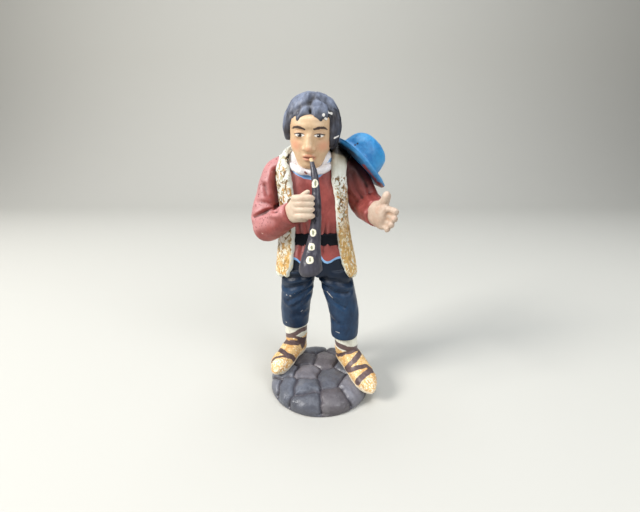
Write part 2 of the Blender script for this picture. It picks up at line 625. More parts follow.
SLEEVE_FOLDS = [
    ([(-16.6, 93), (-17, 89), (-17, 84.6), (-16.2, 80.4)], 1.3, 0.9, False),
    ([(-21.2, 87.6), (-20, 84.2), (-17.2, 80.2)], 1.0, 0.5, False),
    ([(-25.8, 75.8), (-22.6, 77.4), (-18.8, 78.8), (-15.6, 80)], 0.7, 0.55, False),
    ([(-24.4, 81.6), (-21, 81.4), (-17.4, 80.2)], 0.8, 0.3, False),
    ([(12, 92), (14.2, 86), (17.6, 81)], 1.0, 0.45, False),
    ([(11.4, 84.6), (14, 82), (17, 80)], 0.9, 0.4, False),
    ([(18.4, 88), (19.4, 84.4), (21.6, 81.6)], 0.9, 0.3, False),
    ([(-15, 79), (-19, 80), (-24, 78)], 1.2, 0.5, True),
    ([(-14, 84), (-18, 85), (-22, 84)], 1.2, 0.4, True),
    ([(13, 82), (17, 82), (21, 80)], 1.2, 0.5, True),
]
# Dark paint between the sleeves, the vest and the hat: the path of each line and its half-width
SWEATER_SHADE = [
    ([(-16.4, 2.6, 93), (-16.6, 2.2, 86), (-16, 2.1, 80)], 0.7),
    ([(9.4, 2.8, 97), (10, 2.4, 91.8), (10.3, 2.3, 88.1), (10.4, 2.4, 81)], 0.5),
    ([(11, 6, 98), (12.4, 4.7, 96.1), (13.9, 4, 93.9), (15.9, 3.7, 90.9), (18.2, 4.2, 87.5)], 0.1),
]
# Flakes off the sweater, as strokes: start, end and half-width
SWEATER_FLAKES = [
    ((-22.3, -2.7, 70.5), (-22, -2.9, 70.2), 0.2), ((0.6, -1.2, 76.2), (1.2, -1.2, 76.8), 0.2),
    ((-23.8, 2.3, 83.1), (-23.8, 2.3, 83.2), 0.2),
]


def hem_lift(x, y):
    """How far the sweater's hem swings up, by the way around the body."""
    turn = np.degrees(np.arctan2(y - 6.6, x + 1.6))
    wave = 1 - np.cos(np.radians(7 * (turn + 61)))
    middle = 2.7 * np.exp(-((turn + 85) / 9) ** 2)
    return 0.8 + 0.9 * wave + middle - 1.4 * np.exp(-((turn + 122) / 14) ** 2)


NECK_CENTRE = np.array([-3.4, 5, 96.4])
NECK_TILT = 28
NECK_BAND = [(-12.4, 97), (-11.2, 95), (-9.6, 93.5), (-7.9, 92.3), (-5.6, 91.4), (-3.3, 91.1), (-0.8, 91.9),
             (1.0, 93.2), (2.4, 94.6), (4.4, 97.4)]


def around_neck(points):
    """Distance from the collar's middle, along its plane and out of it."""
    lean = math.radians(NECK_TILT)
    x, y, z = (points - NECK_CENTRE).T
    along = y * math.cos(lean) + z * math.sin(lean)
    above = z * math.cos(lean) - y * math.sin(lean)
    return np.hypot(x / 1.06, along / 0.98), above


def sweater():
    skirt = loft(SKIRT, sides=160, square=2.4, rings=40)
    points, _ = skirt
    points[:, 2] += hem_lift(points[:, 0], points[:, 1]) * smooth(points[:, 2], 66, 56.6)
    sleeve = {"across": (0, 1, 0), "domes": (0, 0.22)}
    forearm = {"across": (0, 0, 1), "domes": (0.2, 0.03)}
    obj = fuse("sweater", [
        skirt, loft(SWEATER, square=2.4), loft(RIGHT_UPPER_ARM, **sleeve),
        loft(LEFT_UPPER_ARM, **sleeve), loft(RIGHT_FOREARM, **forearm), loft(LEFT_FOREARM, **forearm),
    ], 0.34, 8)
    points, normals = points_of(obj), normals_of(obj)
    turn = np.arctan2(points[:, 1] - 6.8, points[:, 0] + 2.2)
    body = smooth(np.hypot((points[:, 0] + 2.2) / 14.6, (points[:, 1] - 6.8) / 9.6), 1.06, 0.98)
    gathers = np.sin(24 * turn + 3 * grain(points, 7, 1, 21)) * (0.7 + grain(points, 4, 1, 26))
    above_belt = np.exp(-((points[:, 2] - BELT_HIGH - 1) / 4.4) ** 2)
    below_belt = np.exp(-((points[:, 2] - BELT_LOW + 1) / 4.0) ** 2)
    height = (0.4 * gathers + 0.2) * (above_belt + 0.7 * below_belt) * body
    height += creases(points, normals, SLEEVE_FOLDS)
    push(obj, height + 0.22 * grain(points, 6, 2, 22))
    points = points_of(obj)
    reach, above = around_neck(points)
    uneven = 0.2 * grain(points, 2.4, 2, 23)
    front = points[:, 1] < 5
    below = points[:, 2] - np.interp(points[:, 0], *np.array(NECK_BAND).T)
    band = np.where(front, to_path(points[:, [0, 2]], NECK_BAND), np.abs(above + 1.5)) - 0.75 + uneven
    low = points[:, 2] - 56.6 - hem_lift(points[:, 0], points[:, 1])
    hem = np.where(points[:, 2] < 64, low - 1.35 + 0.3 * grain(points, 2.4, 2, 24), 9)
    near = (points[:, 2] > 88) & (reach < 10.6)
    mark(obj, "trim", np.minimum(np.where(near, band, 9), hem))
    mark(obj, "linen", np.where(near, np.where(front, -below, 1.0 - above), 9))
    mark(obj, "flake", to_strokes(points, SWEATER_FLAKES) + 0.1 * grain(points, 0.8, 2, 25))
    mark(obj, "shade", np.min([to_path(points, path) - half for path, half in SWEATER_SHADE], axis=0))
    mark(obj, "gloom", smooth(points[:, 0], 8, 11) * smooth(points[:, 2], 80, 95))
    lit = normals_of(obj) @ (-0.7, -0.35, 0.62)
    mark(obj, "dust", smooth(lit, 0.35, 0.95) * smooth(points[:, 0], 6, -6))
    paint = Paint("brick_red_paint")
    wool = paint.coat(srgb(160, 78, 72), srgb(130, 56, 52), (1, 1, 2), (0.2, 0.2, 0))
    dusty = paint.mix(paint.sum(paint.read("dust"), 0.38, "MULTIPLY"), wool, srgb(236, 186, 188))
    pits = paint.sum(paint.between(paint.noise(0.9, 2), 0.6, 0.66, 0, 0.8), paint.read("dust"), "MULTIPLY")
    pitted = paint.mix(pits, dusty, srgb(96, 34, 32))
    gloomy = paint.mix(paint.sum(paint.read("gloom"), 0.9, "MULTIPLY"), pitted, srgb(44, 12, 10))
    deep = paint.grime(gloomy, srgb(64, 20, 20), 0.03, 0.3, 0.85)
    shaded = paint.mix(paint.between(paint.read("shade"), 0, 1.1, 0.9, 0), deep, srgb(38, 8, 8))
    rubbed = paint.mix(paint.between(paint.read("hollow"), -0.05, -0.35, 0, 0.3), shaded,
                       srgb(206, 132, 128))
    worn, _ = paint.chips(rubbed, srgb(214, 186, 172), 2.4, 0.15)
    flaked = paint.mix(paint.inside("flake", 0.1), worn, srgb(232, 206, 194))
    blue = paint.coat(srgb(150, 196, 240), srgb(112, 164, 222))
    linen = paint.coat(srgb(244, 240, 238), srgb(214, 210, 214))
    collared = paint.mix(paint.inside("linen", 0.14), flaked, linen)
    trimmed = paint.mix(paint.inside("trim", 0.14), collared, blue)
    strokes = paint.noise(1.3, 3, (1, 1, 2.2), (0.2, 0.2, 0))
    hand_over(obj, paint.finish(trimmed, 0.46, 0.08, 0.06, strokes, 0.4))


def belt():
    rows = [(-2.1, 6.7, BELT_LOW, 26.4, 16), (-2.12, 6.72, BELT_LOW + 0.5, 27.2, 16.8),
            (-2.15, 6.75, 67.3, 27.4, 17), (-2.18, 6.78, BELT_HIGH - 0.5, 27.2, 16.8),
            (-2.2, 6.8, BELT_HIGH, 26.4, 16)]
    obj = fuse("belt", [loft(rows, sides=160, square=2.4)], 0.35, 4)
    push(obj, 0.12 * grain(points_of(obj), 4, 3, 31))
    paint = Paint("black_paint")
    leather = paint.coat(srgb(16, 20, 30), srgb(6, 8, 12), (3, 3, 1))
    worn, _ = paint.chips(leather, srgb(110, 70, 66), 2.6, 0.2)
    hand_over(obj, paint.finish(worn, 0.62, 0.06, 0.06, paint.noise(1.1, 3, (3, 3, 1)), 0.15))


def collar():
    obj = fuse("shirt_collar", [torus(6.7, 1.5, NECK_CENTRE, NECK_TILT, (1.13, 0.98))], 0.22, 3)
    points = points_of(obj)
    turn = np.arctan2(points[:, 1] - 5, points[:, 0] + 3.4)
    push(obj, 0.16 * np.sin(9 * turn + 2) * smooth(points[:, 1], 6, -2) + 0.15 * grain(points, 2.6, 3, 41))
    mark(obj, "nick", to_strokes(points_of(obj), [((-5.5, -1.9, 93.2), (-4.9, -1.9, 92.6), 0.35)]))
    paint = Paint("white_collar_paint")
    linen = paint.coat(srgb(250, 248, 248), srgb(232, 228, 234), (1, 1, 1))
    soiled = paint.grime(linen, srgb(160, 140, 142), 0.06, 0.34, 0.5)
    worn, _ = paint.chips(soiled, srgb(176, 120, 100), 3, 0.14)
    nicked = paint.mix(paint.inside("nick", 0.2), worn, srgb(118, 40, 40))
    hand_over(obj, paint.finish(nicked, 0.42, 0.1, 0.06, paint.noise(1.1, 3)))


# Vest: middle x and y, height, width, depth and the x of its left and right front edges

VEST = np.array([
    (-1.6, 7, 51.2, 34, 20, -13.6, 12.2), (-1.5, 7, 53, 34.9, 20.8, -12.1, 10.9),
    (-1.6, 7, 57, 33.8, 20.8, -10.8, 9.1), (-1.9, 7, 62, 32, 20.6, -10.1, 7.6),
    (-2.2, 7, 68, 30.2, 20.6, -9.7, 6.7), (-2.4, 7, 76, 28.2, 21, -9.5, 6),
    (-2.9, 7.1, 84, 28.4, 21.2, -9.7, 5.4), (-3.3, 7.3, 91, 28.8, 20, -10.6, 4.2),
    (-3.1, 7.6, 96.4, 28.4, 17, -11.6, 4.2), (-2.7, 7.8, 99.8, 23.4, 13.6, -11.2, 4.6),
    (-2.5, 7.9, 101.6, 18, 10, -9.8, 4),
])
VEST_SQUARENESS = 2.5
VEST_WALL = 3.3
# A dark flaw where the vest meets the collar
VEST_SOOT = [
    ((-10.2, 3.5, 99.8), (-10.9, 2.3, 98.9), 0.45), ((-12.2, 2, 98.5), (-10.6, 2.1, 98.1), 0.4),
    ((-11.6, 1.1, 97.7), (-11.3, 0.6, 96.4), 0.35),
]
ROLL = 1.35
# The sheepskin's rolled edge behind the neck
VEST_COLLAR = [
    (7, 8.6, 99.8, 3), (7.4, 10.6, 101.4, 3.2), (5.2, 13.4, 102.2, 3.2), (0, 14.8, 102.4, 3.2),
    (-6, 14.6, 102, 3.2), (-10.8, 12, 101, 3.2), (-12, 8.6, 99.8, 3),
]
# Clay pressed between the shoulder and the hat
VEST_WEB = [(8.4, 8.6, 98.2, 3.6), (9.9, 11.2, 98.6, 4.2), (9.8, 14.2, 98.2, 3.6)]
# How much lower the hem hangs on the figure's left
VEST_DROP = 0.9


def squared(value, squareness):
    return np.sign(value) * np.abs(value) ** (2 / squareness)


def vest_wall(inset, count=120, columns=150):
    """Points of the open vest at a depth below its surface, row by row from the hem up."""
    cx, cy, z, wide, deep, left, right = curve(VEST, np.linspace(0, 1, count)).T

    def turn_at(x):
        share = np.clip((x - cx) / (wide / 2 - ROLL), -1, 1)
        return -np.arccos(np.sign(share) * np.abs(share) ** (VEST_SQUARENESS / 2))

    start, end = turn_at(right + ROLL), 2 * np.pi + turn_at(left - ROLL)
    angle = start[:, None] + (end - start)[:, None] * np.linspace(0, 1, columns)
    x = cx[:, None] + (wide[:, None] / 2 - inset) * squared(np.cos(angle), VEST_SQUARENESS)
    y = cy[:, None] + (deep[:, None] / 2 - inset) * squared(np.sin(angle), VEST_SQUARENESS)
    drop = VEST_DROP * smooth(x, 0, 14) * smooth(z, 60, 51)[:, None]
    return np.stack([x, y, z[:, None] - drop], -1)


def vest():
    rings = np.concatenate([vest_wall(0.3), vest_wall(VEST_WALL)[:, ::-1]], 1)
    count, sides = rings.shape[:2]
    faces = [(i * sides + j, i * sides + (j + 1) % sides, (i + 1) * sides + (j + 1) % sides,
              (i + 1) * sides + j) for i in range(count - 1) for j in range(sides)]
    top = (count - 1) * sides
    for j in range(sides // 2 - 1):
        far = sides - 1 - j
        faces.append((j, far, far - 1, j + 1))
        faces.append((top + j, top + j + 1, top + far - 1, top + far))
    middle = vest_wall(ROLL)
    rolls = []
    for edge in (0, -1):
        path = middle[6:-4:6, edge]
        rolls.append(loft([(*p, 2 * ROLL, 2 * ROLL) for p in path], 24, 90, (0, 1, 0), (0.02, 0.02)))
    hem = middle[5, ::6]
    rolls.append(loft([(*p, 2 * ROLL, 2 * ROLL) for p in hem], 24, 150, (0, 0, 1), (0.015, 0.015)))
    rolls.append(loft(VEST_COLLAR, 24, 90, (0, 0, 1)))
    rolls.append(loft(VEST_WEB, 24, 40, (0, 0, 1)))
    obj = fuse("vest", [(rings.reshape(-1, 3), faces), *rolls], 0.36, 7)
    points = points_of(obj)
    push(obj, 0.2 * grain(points * (1, 1, 0.6), 1.6, 3, 51) + 0.2 * grain(points, 5, 2, 52))
    points = points_of(obj)
    rims = middle[::4, 0] - (ROLL, 0, 0), middle[::4, -1] + (ROLL, 0, 0), middle[5, ::4] - (0, 0, ROLL)
    plain = (0, 0.6 * smooth(points[:, 2], 82, 68), 0.9)
    edge = np.min([to_path(points, rim) - wide for rim, wide in zip(rims, plain)], axis=0)
    mark(obj, "edge", edge + 0.5 * grain(points, 1.4, 2, 53))
    behind = smooth(points[:, 0], 1, 3.4)
    mark(obj, "bare", smooth(points[:, 2], 90.6, 92.6) * behind)
    mark(obj, "gloom", smooth(points[:, 2], 90, 100) * behind)
    mark(obj, "tan", smooth(points[:, 0], 4.8, 8.2) * smooth(points[:, 2], 95, 99))
    mark(obj, "black", smooth(points[:, 2] + 0.3 * points[:, 0], 100.8, 101.8) * behind)
    soot = [(*on_surface(obj, (start, end), 2), half) for start, end, half in VEST_SOOT]
    mark(obj, "soot", to_strokes(points, soot) + 0.25 * grain(points, 0.9, 2, 54))
    paint = Paint("sheepskin_paint")
    cream = paint.coat(srgb(232, 236, 228), srgb(212, 214, 202), (1, 1, 2))
    place = paint.make("ShaderNodeSeparateXYZ", "Z", {0: paint.place})
    aside = paint.make("ShaderNodeSeparateXYZ", "X", {0: paint.place})
    field = paint.sum(paint.between(paint.read("edge"), 1.2, 1.6), paint.read("bare"), "SUBTRACT")
    loose = paint.sum(place, paint.sum(paint.noise(6, 3), 24, "MULTIPLY"))
    loose = paint.sum(loose, paint.sum(aside, 0.5, "MULTIPLY"), "SUBTRACT")
    low = paint.between(loose, 90, 78)
    wash = paint.sum(paint.between(paint.noise(2.2, 5, (1, 1, 1.6)), 0.36, 0.5), low, "MULTIPLY")
    washed = paint.mix(paint.sum(paint.sum(wash, field, "MULTIPLY"), 0.95, "MULTIPLY"), cream,
                       srgb(216, 170, 88))
    first = paint.noise(1.3, 2, (1, 1, 2.2), (0, 0.75, 0), 0.6, 0.5)
    second = paint.noise(1.25, 2, (1, 1, 2.3), (0, -0.6, 0), 0.6, 0.5)
    third = paint.noise(1.4, 2, (1, 1, 1.8), (0, 1.4, 0), 0.6, 0.5)
    sparse = paint.between(place, 86, 99, 0, -0.045)
    shade = washed
    for dabs, colour, start in ((third, srgb(172, 166, 136), 0.54), (second, srgb(180, 138, 78), 0.54),
                                (first, srgb(112, 86, 48), 0.56)):
        inked = paint.sum(paint.between(paint.sum(dabs, sparse), start, start + 0.04), field, "MULTIPLY")
        shade = paint.mix(inked, shade, paint.mix(paint.sum(low, 0.6, "MULTIPLY"), colour, srgb(218, 172, 100)))
    light = paint.between(paint.noise(0.9, 2, (1, 1, 1.7), (0, 0.3, 0)), 0.56, 0.6)
    shade = paint.mix(paint.sum(light, low, "MULTIPLY"), shade, srgb(240, 230, 198))
    soiled = paint.grime(shade, srgb(140, 112, 78), 0.06, 0.4, 0.45)
    gloomy = paint.mix(paint.sum(paint.read("gloom"), 0.7, "MULTIPLY"), soiled, srgb(158, 138, 106))
    warm = paint.mix(paint.sum(paint.read("tan"), 0.8, "MULTIPLY"), gloomy, srgb(96, 82, 54))
    blackened = paint.mix(paint.sum(paint.read("black"), 0.95, "MULTIPLY"), warm, srgb(26, 20, 18))
    worn, _ = paint.chips(blackened, srgb(190, 120, 90), 3.2, 0.14)
    sooty = paint.mix(paint.inside("soot", 0.12), worn, srgb(28, 20, 24))
    relief = paint.sum(first, second, "ADD")
    hand_over(obj, paint.finish(sooty, 0.52, 0.08, 0.1, relief))


# Hands

FIST_PALM = [
    (-12, -6.2, 77.6, 6, 5.6), (-9.4, -8.8, 79.6, 7.6, 6.2), (-6.8, -10.4, 81.2, 10, 6.2),
    (-4, -10.8, 82, 8.8, 4.8),
]
FIST_FINGERS = [85.4, 83.5, 81.5, 79.3]
FIST_THUMB = [(-8, -8.8, 83.4, 3), (-5.6, -9.8, 85.8, 2.5), (-3.6, -10.4, 87.7, 1.5)]
OPEN_PALM = [
    (21, -1.6, 78.2, 8.8, 7.4), (21.7, -6.4, 78.6, 9.6, 7.2), (22.6, -10.2, 78.4, 9.8, 5.4),
    (23.4, -13.4, 78, 8, 3.2),
]
OPEN_FINGERS = [
    (81.2, 25.2, (26, -16, 80.6), 2.7), (79.1, 24.9, (25.4, -16.8, 78.3), 2.7),
    (77, 24.3, (24.2, -16.6, 76.1), 2.6), (75.2, 23.4, (22.4, -15.4, 74.4), 2.4),
]
OPEN_THUMB = [(21.2, -7.4, 80.6, 4.6), (22.7, -10.2, 83.8, 3.6), (23.3, -11.6, 87.4, 2.7)]


def skin_paint(name, light, dark):
    paint = Paint(name)
    tone = paint.coat(light, dark, (1, 1, 1), (0, 0, 0), 4)
    flushed = paint.mix(paint.between(paint.noise(3, 3), 0.5, 0.7, 0, 0.3), tone, srgb(206, 156, 134))
    folded = paint.grime(flushed, srgb(164, 122, 90), 0.02, 0.24, 0.7)
    worn, _ = paint.chips(folded, srgb(240, 228, 214), 2.4, 0.16)
    return paint.finish(worn, 0.5, 0.06, 0.04, paint.noise(1.2, 3))


def hands(fist_paint, open_paint):
    digit = {"across": (0, 0, 1), "domes": (0, 0.2), "sides": 32, "rings": 30}
    palm = {"across": (0, 0, 1), "domes": (0, 0.2), "square": 2.3}
    fist = [loft(FIST_PALM, **palm),
            loft(FIST_THUMB, across=(0, 1, 0), domes=(0, 0.22), sides=32, rings=30)]
    for z in FIST_FINGERS:
        fist.append(loft([(-9.4, -10.8, z - 0.5, 2.6), (-7.4, -12.6, z - 0.2, 2.7), (-5.2, -13.6, z, 2.6),
                          (-1.7, -13.6, z, 2.4)], **digit))
    right = fuse("right_hand", fist, 0.17, 11)
    push(right, 0.08 * grain(points_of(right), 2, 2, 61))
    hand_over(right, fist_paint)
    open_hand = [loft(OPEN_PALM, **palm),
                 loft(OPEN_THUMB, across=(1, 0, 0), domes=(0, 0.22), sides=32, rings=30)]
    for root, knuckle, tip, wide in OPEN_FINGERS:
        open_hand.append(loft([(22.6, -10.8, root, wide), (knuckle, -14.2, root - 0.2, wide),
                               (*tip, wide - 0.5)], **digit))
    left = fuse("left_hand", open_hand, 0.17, 7)
    points = points_of(left)
    cup = np.exp(-(to_path(points, [(23.4, -14, 79.6), (22, -14, 75.6)]) / 1.5) ** 2)
    push(left, 0.08 * grain(points, 2, 2, 62) - 0.7 * cup)
    hand_over(left, open_paint)


# Shawm, from the bell up to the reed

SHAWM = [
    (-3.2, -14.2, 58, 7), (-3.4, -14.2, 60, 8.4), (-3, -13.8, 64, 7.2), (-2, -12.8, 71, 4.6),
    (-1.3, -11.4, 79.4, 3.6), (-1.4, -9.8, 87, 3), (-2, -8, 93, 2.3), (-3.2, -6, 98.2, 1.4),
]
FINGER_HOLES = np.array([(-1.7, -10.2, 89.8), (-2.5, -14.4, 73.6), (-3.1, -15.7, 68.8), (-3.6, -17.2, 64.4)])

# Dark smears beside the fist, as strokes: start, end and half-width
SHAWM_SCORCH = [
    ((-0.6, -12.2, 83.1), (-0.1, -12.1, 82), 0.45), ((-0.9, -13, 80.6), (-1, -13.1, 79.2), 0.45),
    ((-2.2, -13.3, 78.2), (-3, -12.7, 77.4), 0.5), ((-3.3, -12.2, 76.8), (-3.5, -12, 75.6), 0.35),
    ((-1.6, -13.6, 77.6), (-1.9, -13.7, 76.7), 0.4), ((-4, -11, 87.7), (-3.2, -10.8, 87), 0.35),
]


def shawm():
    obj = fuse("shawm", [loft(SHAWM, across=(1, 0, 0), domes=(0.04, 0), rings=110)], 0.2, 4)
    points = points_of(obj)
    push(obj, 0.14 * grain(points, 3, 3, 71))
    points = points_of(obj)
    dot = np.min([np.linalg.norm((points - hole) * (1, 1, 0.86), axis=1) for hole in FINGER_HOLES], axis=0)
    uneven = 0.25 * grain(points, 1.4, 2, 72)
    mark(obj, "dot", dot - 1.25 + uneven)
    slits = [np.linalg.norm((points - hole - (0.15, 0, 0)) * (1, 0.42, 0.42), axis=1) for hole in FINGER_HOLES]
    mark(obj, "hole", np.min(slits, axis=0) - 0.42 + uneven)
    mark(obj, "reed", 97.2 - points[:, 2])
    mark(obj, "scorch", to_strokes(points, SHAWM_SCORCH) + 0.3 * grain(points, 1.2, 2, 73))
    paint = Paint("dark_wood_paint")
    wood = paint.coat(srgb(72, 71, 82), srgb(50, 48, 57), (1, 1, 5))
    dusty = paint.grime(wood, srgb(30, 26, 30), 0.03, 0.2, 0.7)
    worn, _ = paint.chips(dusty, srgb(150, 140, 134), 2.6, 0.2)
    scorched = paint.mix(paint.inside("scorch", 0.15), worn, srgb(22, 22, 30))
    dotted = paint.mix(paint.inside("dot", 0.12), scorched, srgb(238, 232, 208))
    holed = paint.mix(paint.inside("hole", 0.12), dotted, srgb(134, 138, 112))
    reeded = paint.mix(paint.inside("reed", 0.2), holed, srgb(226, 196, 150))
    hand_over(obj, paint.finish(reeded, 0.4, 0.08, 0.06, paint.noise(0.8, 3, (1, 1, 5))))


# Head, upright about its own middle and then nodded forward

FACE = [
    (0, -4.6, CHIN, 5.6, 5.4), (0, -3.6, CHIN + 1.4, 9, 9), (0, -2, MOUTH, 12, 14),
    (0, -0.8, NOSE_FOOT, 14.4, 16.4), (0, -0.2, 0, 16.2, 18), (0, 0, BROW + 2, 16.4, 18.6),
    (0, 0.4, BROW + 6, 15, 17),
]
NOSE = [
    (0, -8.6, NOSE_FOOT + 0.1, 4.2, 3.6), (0, -8.9, NOSE_FOOT + 1.4, 3.6, 4),
    (0, -8.6, NOSE_FOOT + 4.0, 2.9, 3.2), (0, -8, BROW - 0.2, 2.8, 2.6),
]
NECK = [(-3.1, 7, 92, 11.5), (-3.2, 5.4, 98, 10.4), (-3.3, 3.6, 104, 11)]
EYE_X, EYE_Z = 3.35, 0.1
HAIR_SIZE = np.array([10.1, 10.8, 11.9])
HAIR_MIDDLE = np.array([0.3, 1.2, 1])

pose = Euler([math.radians(a) for a in HEAD_TURN]).to_matrix().to_4x4()
pose.translation = HEAD_CENTRE


def in_head(points):
    """Points of the figure as seen upright from the middle of the head."""
    turn = np.array(pose.to_3x3())
    return (points - np.array(HEAD_CENTRE)) @ turn


def bump(points, centre, size, height):
    """A soft swell, or a hollow, on the front of the face at x and z."""
    away = ((points[:, 0] - centre[0]) / size[0]) ** 2 + ((points[:, 2] - centre[1]) / size[1]) ** 2
    return height * np.exp(-away) * smooth(points[:, 1], -1, -4)


def stroke(points, path, widths):
    """Signed distance to a brush stroke on the face whose half-width runs through widths."""
    t = np.linspace(0, 1, 25)
    line = curve(path, t)
    half = np.interp(t, np.linspace(0, 1, len(widths)), widths)
    apart = np.linalg.norm(points[:, None, [0, 2]] - line[None], axis=2) - half
    return np.where(points[:, 1] < -2, apart.min(1), 9)


def head():
    parts = [
        loft(FACE, domes=(0.05, 0.1), sides=96, rings=80),
        loft(NOSE, domes=(0.15, 0.2), sides=40, rings=40),
        ball((0, -10.2, NOSE_FOOT + 1.2), (1.45, 1.25, 1.2)),
        ball((0, -8.8, MOUTH + 0.55), (2.3, 0.8, 0.7)),
        ball((0, -8.6, MOUTH - 0.75), (2, 0.9, 0.75)),
        ball((0, -6.6, CHIN + 2.2), (2.9, 2, 2)),
    ]
    for side in (-1, 1):
        parts.append(ball((1.5 * side, -9.1, NOSE_FOOT + 0.9), (1.05, 1.2, 0.9)))
        parts.append(ball((EYE_X * side, -7.3, EYE_Z), (1.9, 1.6, 1.4)))
    obj = fuse("head", [placed(part, pose) for part in parts] + [loft(NECK)], 0.22, 8)
    local = in_head(points_of(obj))
    height = bump(local, (0, BROW + 0.4), (1.2, 1.0), -0.3)
    height += bump(local, (0, MOUTH), (2.1, 0.35), -0.35) + bump(local, (0, CHIN + 3.7), (2.1, 0.7), -0.25)
    for side in (-1, 1):
        eye = EYE_X * side
        height += bump(local, (eye, EYE_Z + 1.5), (2.0, 0.5), -0.3)
        height += bump(local, (eye, EYE_Z - 1.7), (1.9, 0.7), -0.2)
        height += bump(local, (eye - 1.5 * side, EYE_Z + 0.5), (1.0, 1.4), -0.25)
        height += bump(local, (eye, BROW + 1.4), (2.6, 1.0), 0.3)
        height += bump(local, (4.7 * side, -3.4), (2.4, 2.4), 0.3)
        height += bump(local, (2.9 * side, MOUTH + 1.4), (0.7, 1.5), -0.12)
    push(obj, height + 0.06 * grain(points_of(obj), 2, 2, 81))
    points = points_of(obj)
    local = in_head(points)
    local_x = np.abs(local[:, 0]) - EYE_X
    open_eye = np.clip(1 - (local_x / 1.75) ** 2, 0, 1)
    upper, lower = EYE_Z + 0.45 * open_eye ** 0.8, EYE_Z - 0.62 * open_eye ** 0.9
    lids = np.maximum(local[:, 2] - upper, lower - local[:, 2])
    eye = np.where(local[:, 1] < -2, np.maximum(lids, np.abs(local_x) - 1.75), 9)
    iris = np.hypot(local_x + 0.05, local[:, 2] - EYE_Z + 0.1) - 0.72
    glint = np.hypot(local[:, 0] - np.sign(local[:, 0]) * EYE_X + 0.3, local[:, 2] - EYE_Z - 0.12) - 0.16
    mark(obj, "eye", eye)
    mark(obj, "iris", np.maximum(iris, eye))
    mark(obj, "pupil", np.maximum(iris + 0.42, eye))
    mark(obj, "glint", np.maximum(glint, eye))
    lash, brow = [], []
    for side in (-1, 1):
        lid = [((EYE_X + d) * side, EYE_Z + 0.48 * max(1 - (d / 1.8) ** 2, 0) ** 0.8 + 0.08)
               for d in np.linspace(-1.7, 2.0, 9)]
        lash.append(stroke(local, lid, (0.1, 0.2, 0.24, 0.16)))
        arch = [(1.7 * side, BROW + 0.55), (3.2 * side, BROW + 0.95), (4.9 * side, BROW + 0.9),
                (6.2 * side, BROW + 0.2)]
        brow.append(stroke(local, arch, (0.34, 0.46, 0.4, 0.12)))
    mark(obj, "lash", np.minimum(*lash))
    mark(obj, "brow", np.minimum(*brow) + 0.16 * grain(points, 0.8, 2, 82))
    lips = np.hypot(local[:, 0] / 2.4, (local[:, 2] - MOUTH) / 1.2) - 1
    mark(obj, "lips", np.where(local[:, 1] < -2, lips, 9))
    slit = np.hypot(local[:, 0] / 2.1, (local[:, 2] - MOUTH) / 0.3) - 1
    mark(obj, "slit", np.where(local[:, 1] < -2, slit, 9))
    blush = np.hypot((np.abs(local[:, 0]) - 4.9) / 2.8, (local[:, 2] + 3.6) / 2.4)
    nose_tip = np.hypot(local[:, 0] / 2.0, (local[:, 2] - NOSE_FOOT - 1.0) / 1.6) + 0.25
    mark(obj, "blush", np.where(local[:, 1] < 0, np.minimum(blush, nose_tip), 9))
    socket = np.hypot(local_x / 2.6, (local[:, 2] - EYE_Z - 0.3) / 1.9)
    mark(obj, "socket", np.where(local[:, 1] < -2, socket, 9))
    paint = Paint("face_paint")
    tone = paint.coat(srgb(214, 184, 148), srgb(200, 164, 128), (1, 1, 1), (0, 0, 0), 4)
    shaded = paint.mix(paint.between(paint.read("socket"), 1.25, 0.5, 0, 0.25), tone, srgb(196, 148, 110))
    rosy = paint.mix(paint.between(paint.read("blush"), 1.3, 0.1, 0, 0.5), shaded, srgb(220, 134, 104))
    folded = paint.grime(rosy, srgb(164, 108, 76), 0.06, 0.34, 0.5)
    lipped = paint.mix(paint.between(paint.read("lips"), 0.25, -0.25, 0, 0.6), folded, srgb(198, 116, 96))
    mouth = paint.mix(paint.between(paint.read("slit"), 0.3, -0.2, 0, 0.7), lipped, srgb(122, 62, 50))
    white = paint.mix(paint.inside("eye", 0.1), mouth, srgb(240, 236, 228))
    brown = paint.mix(paint.inside("iris", 0.1), white, srgb(60, 46, 40))
    black = paint.mix(paint.inside("pupil", 0.1), brown, srgb(24, 18, 18))
    lit = paint.mix(paint.inside("glint", 0.1), black, srgb(250, 250, 250))
    lashed = paint.mix(paint.inside("lash", 0.1), lit, srgb(52, 36, 32))
    browed = paint.mix(paint.inside("brow", 0.12), lashed, srgb(66, 48, 42))
    worn, _ = paint.chips(browed, srgb(244, 232, 218), 2.6, 0.16)
    hand_over(obj, paint.finish(worn, 0.48, 0.05, 0.03, paint.noise(1.4, 3)))


def hair_point(turn, lift, out):
    """A point on the hair's round surface, by its turn about the upright and its height."""
    return HAIR_MIDDLE + out * HAIR_SIZE * way_from(turn, lift)


# Clumps of hair, combed from the crown: turn at the root and at the tip, height angle of the tip
# and width. The first five make the fringe, which parts over the forehead; the last lie on top.
LOCKS = [
    (-12, -29, 15, 6), (-34, -46, 20, 5.4), (3, 11, 25, 5), (12, 25, 17.5, 6.6), (31, 40, 18.5, 6.6),
    (-76, -63, -21, 7), (76, 64, -33, 7.2), (-104, -90, -24, 8.4), (104, 94, -42, 8.8),
    (-138, -128, -38, 8.8), (138, 130, -44, 8.8), (180, 172, -40, 9),
    (-52, -70, 30, 6.4), (56, 66, 22, 6.4), (-18, -42, 42, 5.4), (14, 32, 48, 5.4), (92, 108, 18, 7),
    (-92, -110, 14, 7), (130, 146, 8, 7), (-130, -150, 6, 7), (176, 190, 16, 7),
]
